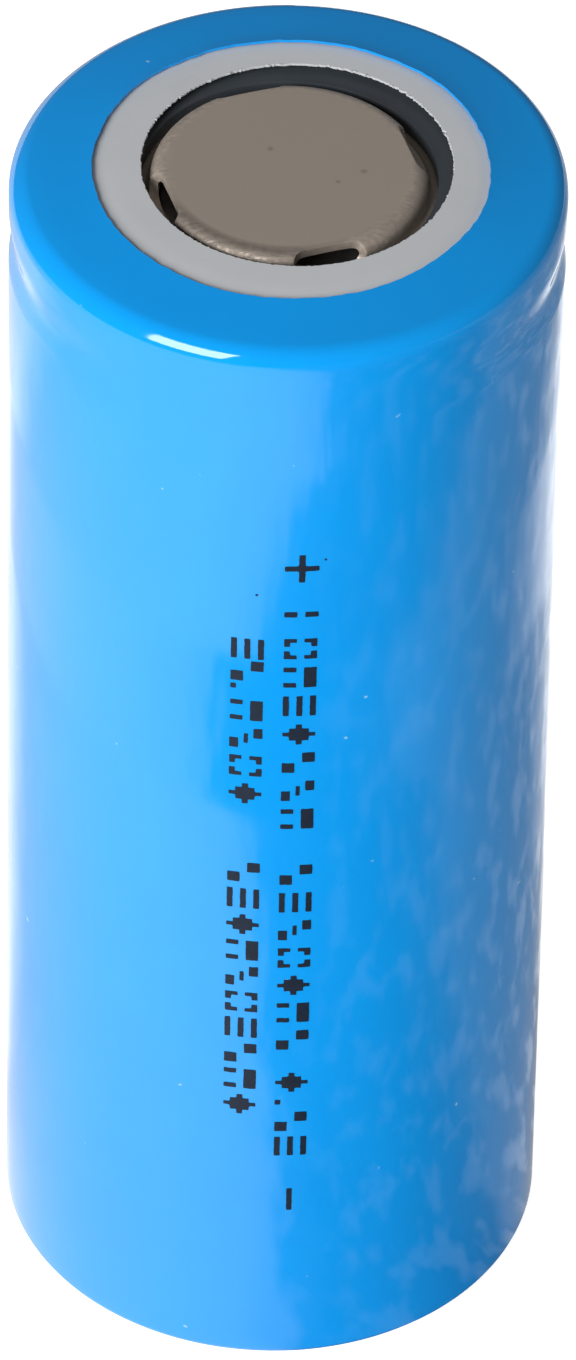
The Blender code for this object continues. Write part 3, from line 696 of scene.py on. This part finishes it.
burr.limit_method = "ANGLE"
burr.angle_limit = radians(50.0)
bpy.ops.object.modifier_apply(modifier=burr.name)
smooth(cap, radians(32.0))

CAP_TONE = (0.62, 0.53, 0.45, 1.0)
CAP_DULL = (0.54, 0.46, 0.39, 1.0)
# Painted shade: the darker colour laid on the front-left of the shoulder, where the key light falls, to dim
# its highlight.
CAP_PAINTED_SHADE = (0.27, 0.23, 0.195, 1.0)
CAP_STAIN = (0.10, 0.085, 0.07, 1.0)
# Each faint mark: where it is on the flat, and its radius.
CAP_MARKS = ((0.0035, -0.0001, 0.00022), (0.0023, -0.0009, 0.00016), (-0.0009, 0.0014, 0.00020))
dull_nickel = new_material("dull_nickel_cap_plate")
tree = dull_nickel.node_tree
place = node(tree, "TexCoord").outputs["Object"]
axes = node(tree, "SeparateXYZ", {"Vector": place})
flat_place = node(tree, "CombineXYZ", {"X": axes.outputs["X"], "Y": axes.outputs["Y"]}).outputs[0]
from_axis = node(tree, "VectorMath", {0: flat_place}, operation="LENGTH").outputs["Value"]
# Painted shade: a band over the shoulder, cut to the front-left by the two masks below, pulls the colour
# towards the darker shade colour. This dims the key light's highlight there and paints a dark line at the
# flat's edge. The same band also makes the whole shoulder rougher and more deeply scratched.
shoulder_wear_and_shade = node(tree, "MapRange", {"Value": from_axis, "From Min": 0.0055, "From Max": 0.0059})
painted_shade_side = node(tree, "MapRange", {"Value": axes.outputs["X"], "From Min": 0.0004, "From Max": 0.003,
                                      "To Min": 1.0, "To Max": 0.15})
painted_shade_front = node(tree, "MapRange", {"Value": axes.outputs["Y"], "From Min": -0.0035, "From Max": -0.0015,
                                       "To Min": 1.0, "To Max": 0.0})
painted_shade_mask = node(tree, "Math", {0: painted_shade_front.outputs[0], 1: painted_shade_side.outputs[0]}, operation="MULTIPLY")
painted_shade_mask = node(tree, "Math", {0: shoulder_wear_and_shade.outputs[0], 1: painted_shade_mask.outputs[0]}, operation="MULTIPLY")
cloud = node(tree, "TexNoise", {"Vector": place, "Scale": 330.0, "Detail": 5.0, "Roughness": 0.55})
tone = node(tree, "MixRGB", {"Fac": cloud.outputs["Fac"], "Color1": CAP_TONE, "Color2": CAP_DULL}).outputs[0]
for x, y, radius in CAP_MARKS:
    away = node(tree, "VectorMath", {0: flat_place, 1: (x, y, 0.0)}, operation="DISTANCE").outputs["Value"]
    mark = node(tree, "MapRange", {"Value": away, "From Min": radius, "From Max": radius * 0.3,
                                   "To Max": 0.3})
    tone = node(tree, "MixRGB", {"Fac": mark.outputs[0], "Color1": tone, "Color2": CAP_STAIN}).outputs[0]
# Painted shade: the front-left of the shoulder takes the darker colour.
tone = node(tree, "MixRGB", {"Fac": painted_shade_mask.outputs[0], "Color1": tone, "Color2": CAP_PAINTED_SHADE}).outputs[0]
scratches = []
for angle in (0.3, 1.2, 2.3):
    laid = node(tree, "Mapping", {"Vector": place, "Rotation": (0.0, 0.0, angle),
                                  "Scale": (500.0, 6500.0, 2500.0)})
    scratches.append(node(tree, "TexNoise", {"Vector": laid.outputs[0], "Scale": 1.0, "Detail": 2.0}))
crossed = node(tree, "Math", {0: scratches[0].outputs["Fac"], 1: scratches[1].outputs["Fac"]},
               operation="MAXIMUM")
crossed = node(tree, "Math", {0: crossed.outputs[0], 1: scratches[2].outputs["Fac"]}, operation="MAXIMUM")
cut_deep = node(tree, "MapRange", {"Value": shoulder_wear_and_shade.outputs[0], "To Min": 0.12, "To Max": 1.0})
grain = node(tree, "Bump", {"Height": crossed.outputs[0], "Strength": cut_deep.outputs[0],
                            "Distance": 0.00003})
glitter = node(tree, "TexNoise", {"Vector": place, "Scale": 4200.0, "Detail": 2.0})
shoulder_gloss = node(tree, "MapRange", {"Value": glitter.outputs["Fac"], "From Min": 0.35, "From Max": 0.65,
                                         "To Min": 0.42, "To Max": 0.70})
flat_gloss = node(tree, "MapRange", {"Value": cloud.outputs["Fac"], "From Min": 0.3, "From Max": 0.7,
                                     "To Min": 0.44, "To Max": 0.54})
gloss = node(tree, "MixRGB", {"Fac": shoulder_wear_and_shade.outputs[0], "Color1": flat_gloss.outputs[0],
                              "Color2": shoulder_gloss.outputs[0]})
body = node(tree, "BsdfPrincipled", {"Base Color": tone, "Metallic": 0.6, "Roughness": gloss.outputs[0],
                                     "Normal": grain.outputs["Normal"]})
node(tree, "OutputMaterial", {"Surface": body.outputs[0]})
finish_piece(cap, dull_nickel, "dull_nickel_cap", "top_cap")

# ---------------------------------------------------------------- Printed marks
# Dark ink printed on the film before it is shrunk, in two lines that run down the front:
# pole signs at both ends of the first line, and abstract blocks and bars in between.
# A line's place is its distance round the cell from the front. LINE_STRETCH and LINE_LIFT
# stretch and raise both lines together.
INK_LIFT = 0.000004
INK_T = 0.00001
INK_FRAY = 0.000018
LINE_ONE = 0.00100
LINE_TWO = -0.00150
MARK = (0.00130, 0.00160)
LINE_STRETCH = 1.0066
LINE_LIFT = 0.00068
# Each shape: its length down the cell, its height round the cell, and its cells.
SHAPES = {
    "plus": (0.00175, 0.00165, ("..#..", "..#..", "#####", "..#..", "..#..")),
    "minus": (0.0015, 0.00030, ("#####",)),
    "dashes": (0.00036, 0.00165, ("#", "#", ".", "#", "#")),
    "dot": (0.00034, 0.00030, ("#",)),
    "fleck": (0.00013, 0.00012, ("#",)),
    "corners": (*MARK, ("##.##", "#...#", ".....", "#...#", "##.##")),
    "rungs": (*MARK, ("####", "....", "####", "....", "####")),
    "lozenge": (*MARK, ("..#..", ".###.", "#####", ".###.", "..#..")),
    "steps": (*MARK, ("##..", "##..", "....", ".##.", "....", "..##", "..##")),
    "blocks": (*MARK, ("##..", "##..", "....", "..##", "..##")),
    "comb": (*MARK, ("####", "####", "....", "#..#", "#..#")),
}
# Each run: its line, the height of its first mark, the step down, and its shapes.
RUNS = (
    (LINE_ONE, 0.05080, 0.0, ("plus",)), (LINE_ONE, 0.04795, 0.0, ("dashes",)),
    (LINE_ONE, 0.04580, 0.00180, ("corners", "comb", "rungs", "lozenge", "blocks", "steps", "comb")),
    (LINE_ONE, 0.03140, 0.00180, ("blocks", "rungs", "steps", "corners", "lozenge", "comb", "blocks")),
    (LINE_ONE, 0.01779, 0.0, ("lozenge",)), (LINE_ONE - 0.00065, 0.01648, 0.0, ("dot",)),
    (LINE_ONE, 0.01518, 0.00163, ("blocks", "rungs")), (LINE_ONE, 0.00997, 0.0, ("minus",)),
    (LINE_TWO, 0.04570, 0.00140, ("rungs", "blocks")), (LINE_TWO - 0.00065, 0.04332, 0.0, ("dot",)),
    (LINE_TWO, 0.04182, 0.00176, ("comb", "steps", "corners", "lozenge")),
    (LINE_TWO, 0.03147, 0.00169, ("blocks", "rungs", "lozenge", "comb", "steps", "corners", "rungs",
                                  "blocks", "comb", "lozenge")),
    (LINE_TWO + 0.0004, 0.0491, 0.0, ("fleck",)), (LINE_ONE + 0.0011, 0.0513, 0.0, ("fleck",)),
)
# Each cell of a shape is split into this many squares a side, so that smoothing rounds only
# its corners.
CELL_CUTS = 3
FRAY_WAVES = 5200.0
patterns = {}
bpy.context.tool_settings.mesh_select_mode = (False, False, True)
for shape, (length, height, rows) in SHAPES.items():
    columns = len(rows[0])
    bpy.ops.mesh.primitive_grid_add(x_subdivisions=columns * CELL_CUTS,
                                    y_subdivisions=len(rows) * CELL_CUTS, size=1.0)
    pattern = bpy.context.object
    for face in pattern.data.polygons:
        column = int((face.center.x + 0.5) * columns)
        row = int((0.5 - face.center.y) * len(rows))
        face.select = rows[row][column] == "."
    bpy.ops.object.mode_set(mode="EDIT")
    bpy.ops.mesh.select_mode(type="FACE")
    bpy.ops.mesh.delete(type="FACE")
    bpy.ops.mesh.select_all(action="SELECT")
    bpy.ops.mesh.vertices_smooth(factor=0.5, repeat=1)
    bpy.ops.object.mode_set(mode="OBJECT")
    pattern.data.transform(Matrix.Diagonal((length, height, 1.0, 1.0)))
    patterns[shape] = pattern
marks = []
for line, first_z, step, shapes in RUNS:
    for index, shape in enumerate(shapes):
        mark = patterns[shape].copy()
        mark.data = patterns[shape].data.copy()
        bpy.context.collection.objects.link(mark)
        for vertex in mark.data.vertices:
            along, across = vertex.co.x, vertex.co.y
            middle_z = LINE_STRETCH * (first_z - step * index) + LINE_LIFT
            place = Vector((line + across, middle_z - along, 0.0))
            fray = INK_FRAY * noise.noise_vector(place * FRAY_WAVES)
            turn = (place.x + fray.x) / CELL_R
            r = CELL_R + INK_LIFT
            vertex.co = (r * sin(turn), -r * cos(turn), place.y + fray.y)
        marks.append(mark)
for pattern in patterns.values():
    bpy.data.objects.remove(pattern)
bpy.ops.object.select_all(action="DESELECT")
for mark in marks:
    mark.select_set(True)
bpy.context.view_layer.objects.active = marks[0]
bpy.ops.object.join()
printed = marks[0]
printed.name = "printed_marks"
wall = printed.modifiers.new("ink", "SOLIDIFY")
wall.thickness = INK_T
wall.offset = 1.0
bpy.ops.object.modifier_apply(modifier=wall.name)
smooth(printed, radians(30.0))

ink = new_material("dark_blue_ink")
tree = ink.node_tree
place = node(tree, "TexCoord").outputs["Object"]
thin = node(tree, "TexNoise", {"Vector": place, "Scale": 2600.0, "Detail": 2.0})
tone = node(tree, "MixRGB", {"Fac": thin.outputs["Fac"], "Color1": (0.002, 0.006, 0.016, 1.0),
                             "Color2": (0.006, 0.017, 0.040, 1.0)})
pores = node(tree, "Bump", {"Height": thin.outputs["Fac"], "Strength": 0.3, "Distance": 0.000005})
body = node(tree, "BsdfPrincipled", {"Base Color": tone.outputs[0], "Roughness": 0.5,
                                     "Specular IOR Level": 0.25, "Normal": pores.outputs["Normal"]})
node(tree, "OutputMaterial", {"Surface": body.outputs[0]})
printed.data.materials.append(ink)
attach(printed, "cell")


def finish_nodes(look, *names):
    """Give carried-over parts their material."""
    for name in names:
        for holder in NODES[name].material_slots:
            holder.material = look


def coated(name, colour, pale, scale, roughness):
    """A powder coat rolled on foil: a mottled matt skin with fine grains."""
    made = new_material(name)
    tree = made.node_tree
    place = node(tree, "TexCoord").outputs["Object"]
    grains = node(tree, "TexVoronoi", {"Vector": place, "Scale": scale})
    cloud = node(tree, "TexNoise", {"Vector": place, "Scale": 300.0, "Detail": 5.0})
    tone = node(tree, "MixRGB", {"Fac": cloud.outputs["Fac"], "Color1": (*colour, 1.0),
                                 "Color2": (*pale, 1.0)})
    skin = node(tree, "Bump", {"Height": grains.outputs["Distance"], "Strength": 0.4, "Distance": 0.00001})
    body = node(tree, "BsdfPrincipled", {"Base Color": tone.outputs[0], "Roughness": roughness,
                                         "Normal": skin.outputs["Normal"]})
    node(tree, "OutputMaterial", {"Surface": body.outputs[0]})
    return made


def clear_tape(name, colour, pale, roughness):
    """Thin adhesive film: a glossy tinted skin with faint stretch lines."""
    made = new_material(name)
    tree = made.node_tree
    place = node(tree, "TexCoord").outputs["Object"]
    laid = node(tree, "Mapping", {"Vector": place, "Scale": (4000.0, 4000.0, 60.0)})
    lines = node(tree, "TexNoise", {"Vector": laid.outputs[0], "Scale": 1.0, "Detail": 2.0})
    tone = node(tree, "MixRGB", {"Fac": lines.outputs["Fac"], "Color1": (*colour, 1.0),
                                 "Color2": (*pale, 1.0)})
    skin = node(tree, "Bump", {"Height": lines.outputs["Fac"], "Strength": 0.2, "Distance": 0.000005})
    body = node(tree, "BsdfPrincipled", {"Base Color": tone.outputs[0], "Roughness": roughness,
                                         "Coat Weight": 0.6, "Normal": skin.outputs["Normal"]})
    node(tree, "OutputMaterial", {"Surface": body.outputs[0]})
    return made


soft_aluminium = worn_metal("rolled_soft_aluminium", (0.78, 0.79, 0.80), (0.68, 0.69, 0.70), 0.36, 0.08, 0.2)
tab_nickel = worn_metal("rolled_tab_nickel", (0.64, 0.62, 0.59), (0.54, 0.52, 0.49), 0.32, 0.08, 0.25, 0.2)
pale_plastic = moulded("natural_polypropylene", (0.70, 0.71, 0.68), (0.62, 0.64, 0.62), 0.45, 0.2)
membrane = moulded("porous_membrane", (0.80, 0.80, 0.80), (0.74, 0.75, 0.76), 0.6, 0.15)
iron_phosphate = coated("iron_phosphate_coat", (0.045, 0.046, 0.050), (0.070, 0.070, 0.074), 9000.0, 0.85)
graphite = coated("graphite_coat", (0.022, 0.022, 0.023), (0.040, 0.040, 0.042), 7000.0, 0.6)
polyimide = clear_tape("amber_polyimide", (0.50, 0.21, 0.025), (0.62, 0.30, 0.05), 0.25)
green_film = clear_tape("green_closing_tape", (0.015, 0.22, 0.11), (0.03, 0.30, 0.16), 0.3)
finish_nodes(soft_aluminium, "vent_disc", "vent_disc_centre", "weld_plate", "positive_tab")
finish_nodes(tab_nickel, "negative_tab")
finish_nodes(pale_plastic, "vent_insulator_ring", "top_insulating_plate", "bottom_insulating_plate")
finish_nodes(membrane, "separator_inner", "separator_outer")
finish_nodes(iron_phosphate, "cathode_winding")
finish_nodes(graphite, "anode_winding")
finish_nodes(polyimide, "positive_tab_tape", "negative_tab_tape")
finish_nodes(green_film, "winding_tape")
